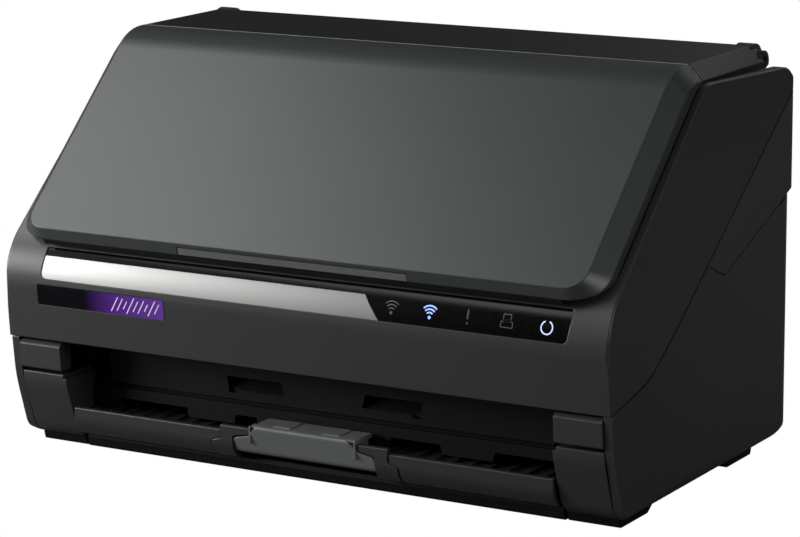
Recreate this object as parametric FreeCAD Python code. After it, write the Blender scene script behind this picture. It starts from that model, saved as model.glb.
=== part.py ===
import FreeCAD, Part
import math
import os

os.makedirs("parts", exist_ok=True)
V = FreeCAD.Vector

# Millimetres. X runs to the object's right as seen from the front, the front is -Y, up is +Z.
# The origin is the middle of the footprint, on the surface the scanner stands on.

# Overall size
width = 296.0
depth = 169.0
lid_top_z = 175.5

# Mouldings and fits
wall = 2.5
front_wall = 3.2
seam_gap = 1.0
clearance = 0.5
running = 0.05
case_z = 4.7

# Plan of the body: a little narrower at the front, rounded at the rear
front_narrowing = 3.0
side_swell_radius = 600.0
shell_rear_radius = 8.0
cover_rear_radius = 2.5
plan_front_radius = 1.5

half = width / 2
front_y = -depth / 2
rear_y = depth / 2
side_full_y = front_y + 44.5
height_limit = lid_top_z + 40.0

# Side view of the lid, which is the folded input tray
lip_y = front_y - 0.7
lip_z = 100.1
lid_fold_y = front_y + 79.9
lid_fold_radius = 26.0
lid_slope_angle = math.degrees(math.atan2(lid_top_z - lip_z, lid_fold_y - lip_y))
lip_bottom = (front_y + 3.3, lip_z - 6.3)
hinge_y = rear_y - 13.0
hinge_z = lid_top_z - 7.0
liner_drop = 5.0
liner_thickness = 2.0
lid_wall = 2.5
lid_seam_y = lid_fold_y + 12.9
lid_seam_gap = 0.5

# Side view of the scanner cover, a set depth below the lid
face_low_z = 50.6
face_low_y = front_y + 2.0
face_radius = 29.0
cover_top_z = lid_top_z - 7.1
cover_rear_z = cover_top_z - 2.6
cover_fold_y = lid_fold_y + 9.6
cover_fold_radius = 14.0
cover_low_z = lip_z - 12.8
cover_slope_angle = math.degrees(math.atan2(cover_top_z - cover_low_z, cover_fold_y - lip_y))
side_lean = 0.06
ridge_rounding = 1.0
seam_knee = (front_y + 31.7, 58.9)
seam_rear_z = lid_top_z - 17.6
seam_angle = math.degrees(math.atan2(seam_rear_z - seam_knee[1], rear_y - seam_knee[0]))
seam_knee_radius = 50.0

# Recess between the cover's sides that the lid closes into, and the lid's width and bevel
half_recess = half - 7.0
recess_front = 3.2
recess_depth = 11.0
lid_half = half_recess - 0.7
bevel_width = 6.2
bevel_depth = 6.4
rim = 0.5
lid_corner_radius = 9.5
barrel_radius = lid_top_z - hinge_z

# Lid hinge: brackets on the cover between the lid's bosses
lid_pin_radius = 2.5
bracket_radius = 7.6
bracket_width = 7.6
bracket_x = lid_half - 9.0
bracket_gap = 0.4

# Side view of the base
base_front = ((front_y + 3.3, 50.4), (front_y + 5.3, 32.0), (front_y + 13.0, 8.6), (front_y + 18.0, case_z))
base_rear_radius = 21.0
base_side_radius = 7.0
shell_x = half - 6.5

# Paper path, from its exit at the front up to the feed mouth at the rear
path_exit = (front_y + 24.1, 27.9)
path_mouth = (rear_y - 3.5, lid_top_z - 19.35)
path_angle = math.degrees(math.atan2(path_mouth[1] - path_exit[1], path_mouth[0] - path_exit[0]))
path_half_gap = 0.7
path_half_width = half - 32.0
guide_thickness = 2.2
mouth_end = 150.0

# Input tray extension and edge guides
extension_half = 55.0
extension_length = 96.0
extension_thickness = 2.0
grip_height = 5.2
grip_depth = 6.0
guide_height = 9.0
guide_length = 44.0
guide_from_hinge = 22.0
guide_x = path_half_width - 14.0
guide_travel = 60.0
guide_foot = 20.0
rack_module = 1.0
rack_teeth = 12
rack_thickness = 2.4

# Cover hinge, hinge blocks and front columns
cover_axis = (front_y + 10.5, 41.5)
cover_pin_radius = 3.0
block_x = (half - 28.4, half - 7.0)
block_z = (36.7, 49.2)
block_front_y = front_y + 2.8
block_depth = 8.0
column_x = (half - 29.7, half - 7.0)
column_high_z = 34.9
column_rear_y = front_y + 26.5

# Control window, keys and badge on the front face
window_half = half - 21.4
window_z = (77.9, 90.9)
window_slant = 1.6
window_radius = 2.4
window_sink = 0.4
window_thickness = 1.3
strip_high_z = 87.4
strip_end_x = (window_half - 84.2, window_half - 92.5)
key_x = (window_half - 26.8, window_half - 9.1)
key_half_width = 6.2
key_z = (79.4, 86.6)
key_travel = 0.6
key_gap = 0.15
badge_x = (-window_half - 1.6, 63.9 - window_half)
badge_z = (66.4, 75.1)
badge_thickness = 0.6
board_front_y = front_y + 8.5
board_thickness = 1.6

# Output trays, outer one first, and the stopper on the inner one
tray_half = half - 31.3
tray_front_y = front_y + 8.5
tray_top_z = 16.4
tray_plate = 1.8
tray_step_z = 2.6
tray_lip_z = (20.2, 22.4, 24.3)
tray_mouth = (41.2, 26.4)
tray_bottom_z = 7.0
tray_key_z = (15.2, 18.4)
tray_key_width = (4.8, 8.4)
tray_rear_y = (rear_y - 46.5, rear_y - 54.5, rear_y - 62.5)
tray_gap = 0.5
tray_rib_pitch = 8.6
bar_rear_y = front_y + 15.1
stopper_axis = (front_y + 9.1, 22.9)
stopper_length = 13.5
stopper_thickness = 1.8
stopper_half = 25.0
stopper_pin_radius = 0.9

# Rollers, sensors and drive
feed_at = 84.0
exit_at = 19.0
pickup_at = 122.0
drive_radius = 8.5
pinch_radius = 6.0
separation_radius = 6.4
shaft_radius = 3.0
idler_shaft_radius = 1.8
nip_gap = 0.35
tyre_width = 18.0
tyre_x = (30.0, path_half_width - 30.0)
pickup_half_width = 22.0
frame_x = half - 29.4
frame_thickness = 1.6
gear_module = 0.7
feed_teeth = 42
motor_teeth = 18
backlash = 0.12
gear_width = 5.0
gear_x = -frame_x - 8.4
belt_x = (-frame_x - 13.4, -frame_x - 18.0)
pulley_radius = 7.0
belt_thickness = 1.0
belt_width = 3.4
motor_direction = -62.0
motor_radius = 13.0
motor_length = 19.0
motor_shaft_radius = 1.5
sensor_at = 55.0
sensor_length = 17.0
sensor_depth = 12.0
sensor_glass = 1.6

# Cover release lever and latch
lever_tip_y = rear_y - 85.1
lever_low_y = rear_y - 70.9
lever_low_drop = 18.2
lever_rear_z = seam_rear_z - 45.6
lever_thickness = 3.0
lever_axis_y = rear_y - 81.0
lever_axis_x = half - lever_thickness + 0.4
lever_barrel_radius = 1.4
latch_axis = (rear_y - 18.5, lid_top_z - 47.5)
latch_shaft_radius = 2.5
latch_half = frame_x + 12.0
keeper_at = (rear_y - 14.0, lid_top_z - 32.5)
keeper_radius = 2.0

# Electrical parts at the rear
inlet_x = 36.0 - half
port_x = 62.0 - half
inlet_z = 32.0
inlet_half = 5.4
board_low_z = 20.0


def turned(angle):
    """Unit vector (y, z) at an angle above +Y."""
    return math.cos(math.radians(angle)), math.sin(math.radians(angle))


def slope(angle):
    return math.tan(math.radians(angle))


def side(x):
    """Places outline points (y, z) in the plane at x."""
    return lambda u, v: V(x, u, v)


def face_on(y):
    """Places outline points (x, z) in the plane at y."""
    return lambda u, v: V(u, y, v)


def plan(z):
    """Places outline points (x, y) in the plane at z."""
    return lambda u, v: V(u, v, z)


def corner_arc(corners, index):
    """Start, middle and end of the arc at a corner; the middle is None at a sharp one."""
    here = V(corners[index][0], corners[index][1], 0)
    radius = corners[index][2] if len(corners[index]) > 2 else 0
    if not radius:
        return here, None, here
    last = corners[index - 1]
    following = corners[(index + 1) % len(corners)]
    back = (V(last[0], last[1], 0) - here).normalize()
    ahead = (V(following[0], following[1], 0) - here).normalize()
    half_angle = back.getAngle(ahead) / 2
    reach = radius / math.tan(half_angle)
    middle = (back + ahead).normalize() * (radius / math.sin(half_angle) - radius)
    return here + back * reach, here + middle, here + ahead * reach


def wire(corners, place):
    """Closed wire through corners given as (u, v) or (u, v, radius)."""
    arcs = [corner_arc(corners, index) for index in range(len(corners))]
    edges = []
    for index, (start, middle, end) in enumerate(arcs):
        if middle:
            points = [place(p.x, p.y) for p in (start, middle, end)]
            edges.append(Part.Arc(*points).toShape())
        following = arcs[(index + 1) % len(arcs)][0]
        if (following - end).Length > 1e-4:
            line = Part.LineSegment(place(end.x, end.y), place(following.x, following.y))
            edges.append(line.toShape())
    return Part.Wire(edges)


def side_prism(corners, x0, x1):
    return Part.Face(wire(corners, side(x0))).extrude(V(x1 - x0, 0, 0))


def front_prism(corners, y0, y1):
    return Part.Face(wire(corners, face_on(y0))).extrude(V(0, y1 - y0, 0))


def plan_prism(corners, z0, z1):
    return Part.Face(wire(corners, plan(z0))).extrude(V(0, 0, z1 - z0))


def box(x, y, z):
    """Box between pairs of limits."""
    return Part.makeBox(x[1] - x[0], y[1] - y[0], z[1] - z[0], V(x[0], y[0], z[0]))


def rod(x0, x1, centre, radius):
    """Cylinder along X between x0 and x1 about centre (y, z)."""
    return Part.makeCylinder(radius, x1 - x0, V(x0, centre[0], centre[1]), V(1, 0, 0))


def mirrored(shape):
    return shape.mirror(V(0, 0, 0), V(1, 0, 0))


def joined(shapes):
    return shapes[0].fuse(shapes[1:]).removeSplitter()


def cut(shape, tools):
    return shape.cut(tools).removeSplitter()


def on_path(along, above):
    """Point (y, z) at a distance up the paper path from its exit, and square above it."""
    c, s = turned(path_angle)
    return path_exit[0] + along * c - above * s, path_exit[1] + along * s + above * c


def path_prism(corners, x0, x1):
    """Prism along X whose corners are (along, above) on the paper path."""
    return side_prism([on_path(*corner[:2]) + tuple(corner[2:]) for corner in corners], x0, x1)


# The lid's inner face runs from its lip to just below the hinge, and carries the paper when open
liner_run = hinge_y + 2.0 - lip_bottom[0]
liner_rise = hinge_z - liner_drop - lip_bottom[1]
liner_angle = math.degrees(math.atan2(liner_rise, liner_run))
liner_length = math.hypot(liner_run, liner_rise) + 1.3


def on_liner(along, above):
    """Point (y, z) at a distance up the lid's inner face from its lip, and square above it."""
    c, s = turned(liner_angle)
    return lip_bottom[0] + along * c - above * s, lip_bottom[1] + along * s + above * c


def liner_prism(corners, x0, x1):
    """Prism along X whose corners are (along, above) on the lid's inner face."""
    return side_prism([on_liner(*corner[:2]) + tuple(corner[2:]) for corner in corners], x0, x1)


def seam_z(y):
    """Height of the seam between cover and base, on its straight stretch."""
    return seam_knee[1] + (y - seam_knee[0]) * slope(seam_angle)


def slope_z(y, drop=0.0):
    """Height of the cover's straight front slope, or of a line a drop below it."""
    return cover_low_z + (y - lip_y) * slope(cover_slope_angle) - drop


def face_lean():
    """Angle of the front face above +Y, just touching the rounding at the crest."""
    centre_y = front_y + face_radius
    centre_z = slope_z(centre_y, face_radius / math.cos(math.radians(cover_slope_angle)))
    across, up = centre_y - face_low_y, centre_z - face_low_z
    return math.degrees(math.atan2(up, across) + math.asin(face_radius / math.hypot(across, up)))


def face_y(z):
    """Front face's plane at a height."""
    return face_low_y + (z - face_low_z) / slope(face_lean())


def face_crest(sink=0.0):
    """Corner (y, z) where the front face's plane would meet the slope, both sunk inward."""
    lean, fall = turned(face_lean() - 90.0)
    low_y, low_z = face_low_y + sink * lean, face_low_z + sink * fall
    lift = sink / math.cos(math.radians(cover_slope_angle))
    along = (slope_z(low_y, lift) - low_z) / (1 - slope(cover_slope_angle) / slope(face_lean()))
    return low_y + along / slope(face_lean()), low_z + along


def body_plan(inset, rear_radius=shell_rear_radius):
    """Plan of the body as a tall prism: sides that swell gently, with rounded corners."""
    front = half - front_narrowing - inset
    full = half - inset
    low = front_y + inset
    high = rear_y - inset
    front_radius = max(plan_front_radius - inset, 0.5)
    corner_radius = max(rear_radius - inset, 1.0)
    corners = [
        (-front, low, front_radius), (front, low, front_radius),
        (full, side_full_y, side_swell_radius), (full, high, corner_radius),
        (-full, high, corner_radius), (-full, side_full_y, side_swell_radius),
    ]
    return plan_prism(corners, -1, height_limit)


def along_seam(corners, y0, y1):
    """Prism along the seam between cover and base, from its front view at the height of the seam."""
    c, s = turned(seam_angle)
    length = (y1 - y0) / c
    points = [V(x, y0, seam_z(y0) + rise) for x, rise in corners]
    return Part.Face(Part.makePolygon(points + points[:1])).extrude(V(0, length * c, length * s))


def leaning_sides():
    """Space between the cover's sides, which lean inward above the seam."""
    high = 2 * height_limit
    reach = half - side_lean * high
    return along_seam([
        (-half, 0), (-half, -high), (half, -high), (half, 0), (reach, high), (-reach, high),
    ], front_y - 5.0, rear_y + 5.0)


def cover_corners():
    """Side view of the scanner cover, with the seam below."""
    return [
        (face_low_y, face_low_z),
        (seam_knee[0], seam_knee[1], seam_knee_radius),
        (rear_y, seam_z(rear_y)),
        (rear_y, cover_rear_z, 8.0),
        (cover_fold_y, cover_top_z, cover_fold_radius),
        face_crest() + (face_radius,),
    ]


def base_corners():
    """Side view of the base, with the seam above."""
    gap = seam_gap / math.cos(math.radians(seam_angle))
    top, belly, toe, heel = base_front
    return [
        top + (1.5,),
        belly + (60.0,),
        toe + (8.0,),
        heel,
        (rear_y, case_z, base_rear_radius),
        (rear_y, seam_z(rear_y) - gap),
        (seam_knee[0], seam_knee[1] - gap, seam_knee_radius),
    ]


def front_profile(sink, far):
    """Front face and slope of the cover, sunk inward, from the bottom edge up to y = far."""
    low = (face_y(face_low_z) + sink, face_low_z)
    drop = sink / math.cos(math.radians(cover_slope_angle))
    return [low, face_crest(sink) + (face_radius - sink,), (far, slope_z(far, drop))]


def recess_low():
    """Distance of the recess's front edge up the lid's slope from its lip."""
    c, s = turned(lid_slope_angle)
    y, z = on_liner(recess_front, 0.0)
    return (y - lip_y) * c + (z - lip_z) * s


def lid_recess():
    """Space between the cover's sides that the lid and its edge guides close into."""
    c, s = turned(lid_slope_angle)
    y, z = on_liner(recess_front, 0.0)
    far = rear_y + 40.0
    up, down = 30.0, recess_depth * 0.92
    side_view = side_prism([
        (y - up * s, z + up * c), (y + down * s, z - down * c), on_liner(recess_front + 8.0, -recess_depth),
        on_liner(240.0, -recess_depth), (far, height_limit * 2), (y - up * s, height_limit * 2),
    ], -half_recess, half_recess)
    return side_view.common(slope_prism(half_recess, recess_low(), lid_corner_radius + bevel_width))


def slope_prism(reach, low, radius):
    """Prism square to the lid's slope, with rounded lower corners a distance up the slope."""
    c, s = turned(lid_slope_angle)

    def place(u, v):
        return V(u, lip_y + v * c - 80.0 * s, lip_z + v * s + 80.0 * c)

    corners = [(-reach, low, radius), (reach, low, radius), (reach, 400), (-reach, 400)]
    return Part.Face(wire(corners, place)).extrude(V(0, s, -c) * 260.0)


def front_hollow():
    """Space behind the cover's front wall, down to the seam."""
    corners = front_profile(front_wall, rear_y + 5.0)
    return side_prism([(corners[0][0], 0)] + corners + [(rear_y + 5.0, 0)], -half_recess, half_recess)


def window_corners(gap):
    """Front view of the control window, with slanted ends, grown by a gap."""
    low, high = window_z[0] - gap, window_z[1] + gap
    outer = window_half + gap
    return [
        (-outer, low, window_radius), (outer, low, window_radius),
        (outer + window_slant, high, 1.2), (-outer + window_slant, high, 1.2),
    ]


face_back_y = front_y + 16.5


def face_layer(shallow, deep):
    """Layer of the front face between two depths below its surface."""
    outer, inner = [
        side_prism(front_profile(sink, face_back_y) + [(face_back_y, face_low_z)], -half_recess, half_recess)
        for sink in (shallow, deep)
    ]
    return outer.cut(inner)


def key_prism(x, grow):
    low, high = key_z
    reach = key_half_width + grow
    radius = 1.6
    return front_prism([
        (x - reach, low - grow, radius), (x + reach, low - grow, radius),
        (x + reach, high + grow, radius), (x - reach, high + grow, radius),
    ], front_y - 5.0, face_back_y)


def badge_prism(gap):
    return front_prism([
        (badge_x[0] - gap, badge_z[0] - gap, 0.8), (badge_x[1] + gap, badge_z[0] - gap, 0.8),
        (badge_x[1] + gap, badge_z[1] + gap, 0.8), (badge_x[0] - gap, badge_z[1] + gap, 0.8),
    ], front_y - 5.0, face_back_y)


def ridge_edges(shape):
    """Edges along the tops of the sides, from the crest to the rear."""
    found = []
    for edge in shape.Edges:
        middle = edge.valueAt((edge.FirstParameter + edge.LastParameter) / 2)
        runs_back = edge.BoundBox.YLength > 4 * edge.BoundBox.XLength
        if runs_back and middle.z > seam_z(middle.y) + 8.0 and middle.z > window_z[0]:
            found.append(edge)
    return found


def lid_brackets():
    """Brackets inside the cover's sides that hold the lid's hinge pins."""
    x0, x1 = bracket_x - bracket_width / 2, bracket_x + bracket_width / 2
    barrel = rod(x0, x1, (hinge_y, hinge_z), bracket_radius)
    web = box((x0, x1), (hinge_y - 4.0, hinge_y + 6.0), (hinge_z - 16.5, hinge_z))
    tie = box((x0, half_recess + 1.0), (hinge_y - 5.5, hinge_y + 6.0), (hinge_z - 16.5, hinge_z - 10.5))
    bracket = joined([barrel, web, tie])
    return [bracket, mirrored(bracket)]


def front_cover():
    """Front face and both sides in one moulding, open to the paper path below."""
    outer = side_prism(cover_corners(), -half - 1, half + 1).common(body_plan(0, cover_rear_radius))
    outer = outer.common(leaning_sides())
    outer = outer.makeFillet(ridge_rounding, ridge_edges(outer))
    body = joined([outer.cut([lid_recess(), front_hollow()])] + lid_brackets())
    window = front_prism(window_corners(0.1), front_y - 5.0, face_back_y)
    pocket = face_layer(-1.0, window_sink + window_thickness + 0.1).common(window)
    key_room = face_layer(-1.0, window_sink + window_thickness + 2 * key_travel)
    posts = [key_prism(x, -1.0) for x in key_x] + [key_room.common(key_prism(x, key_gap)) for x in key_x]
    badge = face_layer(-1.0, badge_thickness - 0.3).common(badge_prism(0.1))
    pins = rod(-half_recess, half_recess, (hinge_y, hinge_z), lid_pin_radius)
    return cut(body, [pocket, badge, pins] + posts)


def feed_cover():
    """Floor of the lid's recess, from behind the front wall to the feed mouth."""
    under = -recess_depth - wall
    nose = liner_length - 23.0
    start = recess_front + 8.0
    c, s = turned(lid_slope_angle)
    y, z = on_liner(start, -recess_depth - 0.02)
    rise = 10.0
    reach = half_recess - 0.1
    skin = liner_prism([
        (start, under), (start, -recess_depth - 0.02), (nose, -recess_depth - 0.02, 1.2), (nose, under, 1.2),
    ], -reach, reach)
    front_web = side_prism([
        (y + 2.0 * c, z - 2.0), (y, z), (y - rise * s, z + rise * c),
        (y - rise * s - 2.0, z + rise * c - 1.5),
        (y - 2.0, z - 2.0),
    ], -reach, reach)
    ribs = [rib_under_skin(x) for x in (-60.0, 0.0, 60.0)]
    return joined([skin, front_web.cut(front_keep_out())] + ribs)


def front_keep_out():
    """The front wall's own thickness, kept clear by the feed cover's web."""
    far = front_y + 44.5
    corners = front_profile(front_wall + 0.1, far)
    return side_prism([(front_y - 5, 20)] + [(corners[0][0], 20)] + corners
                      + [(far, height_limit), (front_y - 5, height_limit)], -half, half)


def rib_under_skin(x):
    under = -recess_depth - wall
    return liner_prism([(30.0, under - 5.0), (30.0, under + 0.5), (70.0, under + 0.5), (70.0, under - 5.0)],
                       x - 0.8, x + 0.8)


def roller_slots(along, low, high, radius, centres, axis_above):
    """Slots in a guide plate where rollers reach through, between two heights on the path."""
    reach = math.sqrt(max(radius ** 2 - min(abs(axis_above - low), abs(axis_above - high)) ** 2, 1.0))
    reach = min(reach, radius) + 1.6
    return [
        path_prism([(along - reach, low), (along - reach, high), (along + reach, high), (along + reach, low)],
                   x - tyre_width / 2 - 1.2, x + tyre_width / 2 + 1.2)
        for x in centres
    ]


tyre_centres = (-tyre_x[1], -tyre_x[0], tyre_x[0], tyre_x[1])
drive_above = -nip_gap - drive_radius
pinch_above = nip_gap + pinch_radius
opening_half = path_half_width - 7.3
opening_ceiling = face_low_z + 0.6


def exit_guide_upper():
    """Ceiling and back wall of the output opening, and the last stretch of upper paper guide."""
    front = face_low_y + front_wall + 0.3
    back = path_exit[0] + 0.6
    low = path_half_gap
    high = low + guide_thickness
    sensor_edge = sensor_at - sensor_length / 2 - clearance
    foot = on_path(1.2, low)
    inner_foot = on_path(3.6, high)
    top = opening_ceiling + guide_thickness
    ceiling = box((-path_half_width, path_half_width), (front, inner_foot[0]), (opening_ceiling, top))
    wall_plate = side_prism([
        (back, opening_ceiling + 1.0), (back, foot[1]), on_path(sensor_edge, low), on_path(sensor_edge, high),
        inner_foot, (inner_foot[0] + 0.6, opening_ceiling + 1.0),
    ], -opening_half, opening_half)
    slots = roller_slots(exit_at, low - 1, high + 1, pinch_radius, tyre_centres, pinch_above)
    pockets = [recess_pocket(1.0), recess_pocket(-1.0)]
    return cut(joined([ceiling, wall_plate]), slots + pockets)


def recess_pocket(sign):
    """Finger recess in the opening's back wall, with a deeper notch at its outer end."""
    back = path_exit[0] + 0.6
    shallow = front_prism([
        (sign * 19.0, 33.2), (sign * 20.5, 39.0), (sign * 43.5, 39.0), (sign * 43.5, 33.2),
    ], back - 1.0, back + 1.2)
    notch = front_prism([
        (sign * 43.0, 32.0), (sign * 43.0, 39.0), (sign * 48.0, 39.0), (sign * 47.0, 32.0),
    ], back - 1.0, back + 1.6)
    return shallow.fuse(notch)


def feed_guide_upper():
    """Upper paper guide between the sensor and the feed mouth."""
    low = path_half_gap
    high = low + guide_thickness
    start = sensor_at + sensor_length / 2 + clearance
    end = mouth_end
    body = path_prism([
        (start, low), (end, low), (end + 6.0, low + 3.4), (end + 6.0, low + 5.6),
        (end - 1.0, high), (start, high),
    ], -path_half_width, path_half_width)
    slots = roller_slots(feed_at, low - 1, high + 1, pinch_radius, tyre_centres, pinch_above)
    middle = path_prism([(pickup_at - 9, low - 1), (pickup_at - 9, high + 1), (pickup_at + 9, high + 1),
                         (pickup_at + 9, low - 1)], -pickup_half_width - 1.2, pickup_half_width + 1.2)
    return cut(body, slots + [middle])


def guide_ribs(start, end, low, high):
    """Low fore-and-aft ribs on the lower guide's underside."""
    outer, inner = path_half_width - 8.0, path_half_width / 2
    return [path_prism([(start, low), (start, high), (end, high), (end, low)], x - 0.7, x + 0.7)
            for x in (-outer, -inner, inner, outer)]


def exit_wall_lower():
    """Wall under the paper exit, with cut-outs at its foot, and the lowest stretch of lower guide."""
    top = -path_half_gap
    under = top - guide_thickness
    sensor_edge = sensor_at - sensor_length / 2 - clearance
    front = path_exit[0]
    foot = tray_top_z + 2.2
    start = on_path(0.4, top)
    body = side_prism([
        (front, foot), (front, start[1] - 0.4), start, on_path(sensor_edge, top), on_path(sensor_edge, under),
        (front + guide_thickness, start[1] - 2.4), (front + guide_thickness, foot),
    ], -path_half_width, path_half_width)
    holes = []
    reach = path_half_width
    steps = ((12.5 - reach, 47.5 - reach), (-43.5, -33.0), (33.0, 56.5), (reach - 34.0, reach - 7.0))
    for low_x, high_x in steps:
        holes.append(front_prism([
            (low_x - 1.2, foot - 1), (low_x, foot + 4.0), (high_x, foot + 4.0), (high_x + 1.2, foot - 1),
        ], front - 1, front + 4))
    slots = roller_slots(exit_at, under - 1, top + 1, drive_radius, tyre_centres, drive_above)
    return cut(body, holes + slots)


def feed_guide_lower():
    """Lower paper guide from the sensor up to the feed mouth."""
    top = -path_half_gap
    under = top - guide_thickness
    start = sensor_at + sensor_length / 2 + clearance
    end = (rear_y - wall - 4.5 - path_exit[0]) / turned(path_angle)[0]
    rib_depth = 2.4
    body = path_prism([(start, top), (end, top), (end, under), (start, under)],
                      -path_half_width, path_half_width)
    slots = roller_slots(feed_at, under - 1, top + 1, drive_radius, tyre_centres, drive_above)
    pickup = path_prism([(pickup_at - 8.6, under - 1), (pickup_at - 8.6, top + 1), (pickup_at + 8.6, top + 1),
                         (pickup_at + 8.6, under - 1)], -pickup_half_width - 1.2, pickup_half_width + 1.2)
    ribs = guide_ribs(start + 24, end - 20, under - rib_depth, under + 0.1)
    return cut(joined([body] + ribs), slots + [pickup])


def sensor(sign):
    """Housing of a contact image sensor under (-1) or over (+1) the paper path, and its glass."""
    face = sign * path_half_gap
    glass_back = face + sign * sensor_glass
    back = face + sign * sensor_depth
    low = sensor_at - sensor_length / 2
    high = sensor_at + sensor_length / 2
    reach = path_half_width - 4.0
    glass = path_prism([(low + 1, face), (high - 1, face), (high - 1, glass_back), (low + 1, glass_back)],
                       -reach, reach)
    housing = path_prism([(low, glass_back), (high, glass_back), (high - 2, back), (low + 2, back)],
                         -reach - 2, reach + 2)
    return housing, glass


def tyres(along, axis_above, radius):
    """Rubber tyres of a roller, on their shaft."""
    centre = on_path(along, axis_above)
    bands = []
    for x in tyre_centres:
        band = rod(x - tyre_width / 2, x + tyre_width / 2, centre, radius)
        bands.append(band.cut(rod(x - tyre_width, x + tyre_width, centre, shaft_radius)))
    return Part.makeCompound(bands)


def drive_shaft(along, x0, pulley_at):
    """Steel shaft across the frames with a flanged belt pulley on its left end."""
    centre = on_path(along, drive_above)
    shaft = rod(x0, frame_x + 4.0, centre, shaft_radius)
    parts = [shaft]
    for x in pulley_at:
        parts.append(rod(x - belt_width / 2 - 0.8, x + belt_width / 2 + 0.8, centre, pulley_radius))
    return joined(parts)


def belt(low_at, high_at, x):
    """Flat loop round two equal pulleys."""
    low = on_path(low_at, drive_above)
    high = on_path(high_at, drive_above)

    def loop(radius, x0, x1):
        across = V(0, high[0] - low[0], high[1] - low[1])
        length = across.Length
        bar = Part.makeBox(x1 - x0, length, 2 * radius, V(x0, 0, -radius))
        bar.rotate(V(0, 0, 0), V(1, 0, 0), path_angle)
        bar.translate(V(0, low[0], low[1]))
        return bar.fuse([rod(x0, x1, low, radius), rod(x0, x1, high, radius)])

    inner = pulley_radius + running
    outer = inner + belt_thickness
    x0, x1 = x - belt_width / 2, x + belt_width / 2
    return loop(outer, x0, x1).cut(loop(inner, x0 - 1, x1 + 1)).removeSplitter()


def involute_tooth(teeth, module):
    """One flank as (radius, half angle) pairs from root to tip, on the standard 20 degree rack."""
    pitch = teeth * module / 2
    base = pitch * math.cos(math.radians(20.0))
    root = pitch - 1.25 * module
    tip = pitch + module
    def spread(r):
        return math.sqrt((r / base) ** 2 - 1) - math.acos(base / r) if r > base else 0

    at_pitch = math.pi / (2 * teeth) - backlash / (2 * pitch)
    flank = [(root, at_pitch + spread(pitch))]
    for step in range(3):
        radius = max(root, base) + (tip - max(root, base)) * step / 2
        flank.append((radius, at_pitch + spread(pitch) - spread(radius)))
    return [point for index, point in enumerate(flank) if index == 0 or point[0] > flank[index - 1][0] + 1e-6]


def gear(centre, teeth, module, x0, x1, phase):
    """Spur gear along X; a tooth points in the direction phase, in degrees above +Y."""
    flank = involute_tooth(teeth, module)
    points = []
    for tooth in range(teeth):
        middle = math.radians(phase) + 2 * math.pi * tooth / teeth
        for radius, angle in flank:
            points.append((centre[0] + radius * math.cos(middle - angle),
                           centre[1] + radius * math.sin(middle - angle)))
        for radius, angle in reversed(flank):
            points.append((centre[0] + radius * math.cos(middle + angle),
                           centre[1] + radius * math.sin(middle + angle)))
    return side_prism(points, x0, x1)


feed_centre = on_path(feed_at, drive_above)
motor_distance = gear_module * (feed_teeth + motor_teeth) / 2
motor_centre = (feed_centre[0] + motor_distance * turned(motor_direction)[0],
                feed_centre[1] + motor_distance * turned(motor_direction)[1])


def feed_gear():
    teeth = gear(feed_centre, feed_teeth, gear_module, gear_x - gear_width / 2, gear_x + gear_width / 2,
                 motor_direction)
    web = rod(gear_x - gear_width, gear_x - 1.0, feed_centre, gear_module * feed_teeth / 2 - 3.0)
    hub = rod(gear_x - gear_width, gear_x, feed_centre, 5.0)
    bore = rod(gear_x - 20, gear_x + 20, feed_centre, shaft_radius)
    return cut(teeth, [web.cut(hub), bore])


def motor_pinion():
    phase = motor_direction + 180.0 + 180.0 / motor_teeth
    low_x = gear_x - gear_width / 2
    teeth = gear(motor_centre, motor_teeth, gear_module, low_x, low_x + gear_width, phase)
    return teeth.cut(rod(gear_x - 20, gear_x + 20, motor_centre, motor_shaft_radius))


def motor():
    """Motor can with its mounting flange, boss and shaft."""
    face = -frame_x + clearance
    can = rod(face + 1.5, face + motor_length, motor_centre, motor_radius)
    flange = rod(face, face + 1.5, motor_centre, motor_radius + 1.5)
    boss = rod(-frame_x - frame_thickness - 1.0, face, motor_centre, 4.0)
    shaft = rod(gear_x - gear_width / 2 - 0.5, face, motor_centre, motor_shaft_radius - running)
    return joined([can, flange, boss, shaft])


def bearing_centres():
    return [on_path(along, drive_above) for along in (exit_at, feed_at, pickup_at)]


def side_frame(sign):
    """Inner frame that carries the drive shafts, with its foot on the case floor."""
    low = case_z + wall + 0.4
    rear = rear_y - 16.0
    corners = [
        (path_exit[0] + 4.0, low), (rear, low), (rear, 80.0), (rear - 16.0, 96.0),
        on_path(150.0, -5.0), on_path(6.0, -5.0),
    ]
    x0, x1 = frame_x, frame_x + frame_thickness
    plate = side_prism(corners, x0, x1)
    foot = box((x0 - 9.0, x0 + 0.2), (path_exit[0] + 20.0, rear - 8.0), (low, low + 1.6))
    tools = [rod(x0 - 1, x1 + 1, centre, shaft_radius + 2.0) for centre in bearing_centres()]
    plate = plate.cut(tools).fuse(foot)
    if sign > 0:
        return plate.removeSplitter()
    return cut(mirrored(plate), [rod(-x1 - 1, -x0 + 1, motor_centre, 4.0 + running)])


def shaft_bushes():
    """Bushes in the frames, one at each end of each drive shaft."""
    rings = []
    for centre in bearing_centres():
        body = rod(frame_x - 1.0, frame_x + frame_thickness, centre, shaft_radius + 2.0)
        ring = body.cut(rod(frame_x - 5, frame_x + 5, centre, shaft_radius + running))
        rings += [ring, mirrored(ring)]
    return Part.makeCompound(rings)


def pinch_roller(along):
    """Idler shaft with four rollers, carried by the cover."""
    centre = on_path(along, pinch_above)
    parts = [rod(-path_half_width + 6.0, path_half_width - 6.0, centre, idler_shaft_radius)]
    for x in tyre_centres:
        parts.append(rod(x - tyre_width / 2 + 2, x + tyre_width / 2 - 2, centre, pinch_radius))
    return joined(parts)


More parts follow.
